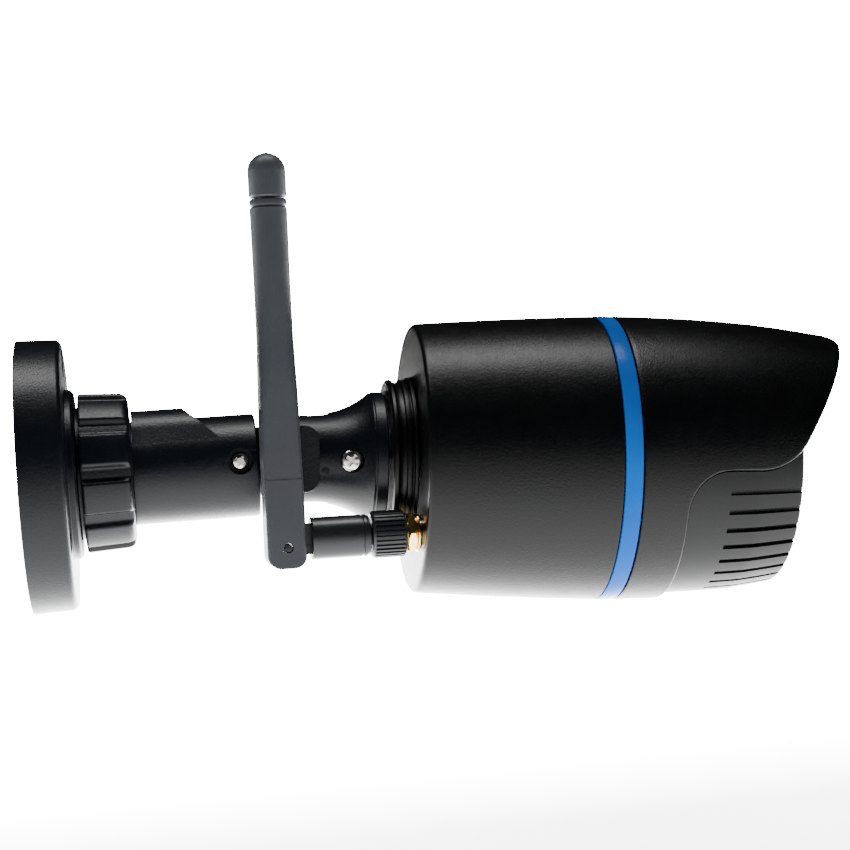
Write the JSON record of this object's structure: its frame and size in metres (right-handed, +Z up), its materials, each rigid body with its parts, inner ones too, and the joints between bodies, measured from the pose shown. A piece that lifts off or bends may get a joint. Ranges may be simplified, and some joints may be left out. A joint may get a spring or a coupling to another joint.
{
  "type": "security camera",
  "caption": "Bullet security camera with a shaded hood and grooved chin on a jointed round wall bracket, with a hinged antenna behind it.",
  "frame": {"origin": "centre of the wall plate's back face", "axes": "+X forward along the lower arm, away from the wall; +Z up; the camera leans 4 degrees nose down from +X at rest"},
  "size_m": [0.1831, 0.064, 0.1028],
  "materials": {
    "black_shell": "satin black moulded ABS with a very fine texture",
    "black_bracket": "satin blue-black moulded plastic",
    "chin_plastic": "satin charcoal moulded plastic",
    "antenna_plastic": "matte dark grey moulded plastic",
    "blue_trim": "glossy blue plastic",
    "window": "smoked clear window",
    "rubber": "black seal rubber",
    "steel": "bright nickel-plated steel",
    "gold": "gold-plated brass",
    "led_lens": "smoky clear epoxy",
    "lens_glass": "coated lens glass",
    "board": "green solder mask",
    "chip": "black epoxy package",
    "pigtail": "grey coax jacket"
  },
  "bodies": {
    "wall_base": {"wall_plate": "black_bracket"},
    "lock_ring": {"lock_ring": "black_bracket"},
    "lower_arm": {"lower_arm_near": "black_bracket", "lower_arm_far": "black_bracket", "lower_arm_screw": "steel", "pan_washer": "steel", "elbow_bush": "steel"},
    "upper_arm": {"upper_arm_near": "black_bracket", "upper_arm_far": "black_bracket", "upper_arm_screw": "steel", "elbow_cap": "black_bracket", "elbow_bolt": "steel", "elbow_nut": "steel", "neck_bolt": "steel", "neck_washer": "steel", "neck_nut": "steel"},
    "camera": {"neck_boot": "black_shell", "rear_housing": "black_shell", "trim_ring": "blue_trim", "housing_seal": "rubber", "front_hood": "black_shell", "chin_cover": "chin_plastic", "front_bezel": "black_shell", "window_glass": "window", "window_gasket": "rubber", "sensor_board": "board", "image_sensor": "chip", "lens_holder": "black_shell", "lens_barrel": "black_shell", "lens_element": "lens_glass", "led_board": "board", "photocell": "led_lens", "ir_led_01": "led_lens", "ir_led_02": "led_lens", "ir_led_03": "led_lens", "ir_led_04": "led_lens", "ir_led_05": "led_lens", "ir_led_06": "led_lens", "ir_led_07": "led_lens", "ir_led_08": "led_lens", "ir_led_09": "led_lens", "main_board": "board", "soc_chip": "chip", "wifi_module": "steel", "capacitor": "chip", "board_standoff_1": "steel", "board_standoff_2": "steel", "board_standoff_3": "steel", "board_standoff_4": "steel", "coax_pigtail": "pigtail", "antenna_jack": "gold", "jack_washer": "gold", "jack_nut": "gold"},
    "coupling_nut": {"coupling_nut": "antenna_plastic"},
    "antenna_elbow": {"antenna_elbow": "antenna_plastic", "antenna_pin": "antenna_plastic"},
    "antenna_paddle": {"antenna_paddle": "antenna_plastic", "antenna_tip": "antenna_plastic", "antenna_whip": "gold"}
  },
  "joints": [
    {"name": "lock_ring_turn", "type": "hinge", "parent": "wall_base", "child": "lock_ring", "pos_m": [0.0177, 0, 0], "axis": [1, 0, 0], "continuous": true},
    {"name": "arm_pan", "type": "hinge", "parent": "wall_base", "child": "lower_arm", "pos_m": [0.0177, 0, 0], "axis": [1, 0, 0], "range_deg": [-180, 180]},
    {"name": "elbow_tilt", "type": "hinge", "parent": "lower_arm", "child": "upper_arm", "pos_m": [0.05815, 0, 0], "axis": [0, 1, 0], "range_deg": [-34, 54]},
    {"name": "neck_roll", "type": "hinge", "parent": "upper_arm", "child": "camera", "pos_m": [0.08434, 0, -0.00183], "axis": [0.9976, 0, -0.0698], "range_deg": [-180, 180]},
    {"name": "coupling_nut_turn", "type": "hinge", "parent": "camera", "child": "coupling_nut", "pos_m": [0.07627, -0.01687, -0.01716], "axis": [0.9984, 0.0523, -0.0192], "continuous": true},
    {"name": "antenna_swivel", "type": "hinge", "parent": "camera", "child": "antenna_elbow", "pos_m": [0.07127, -0.01713, -0.01706], "axis": [0.9984, 0.0523, -0.0192], "range_deg": [0, 270]},
    {"name": "antenna_tilt", "type": "hinge", "parent": "antenna_elbow", "child": "antenna_paddle", "pos_m": [0.05417, -0.01802, -0.01824], "axis": [0.0522, -0.9986, -0.0037], "range_deg": [0, 40]}
  ]
}
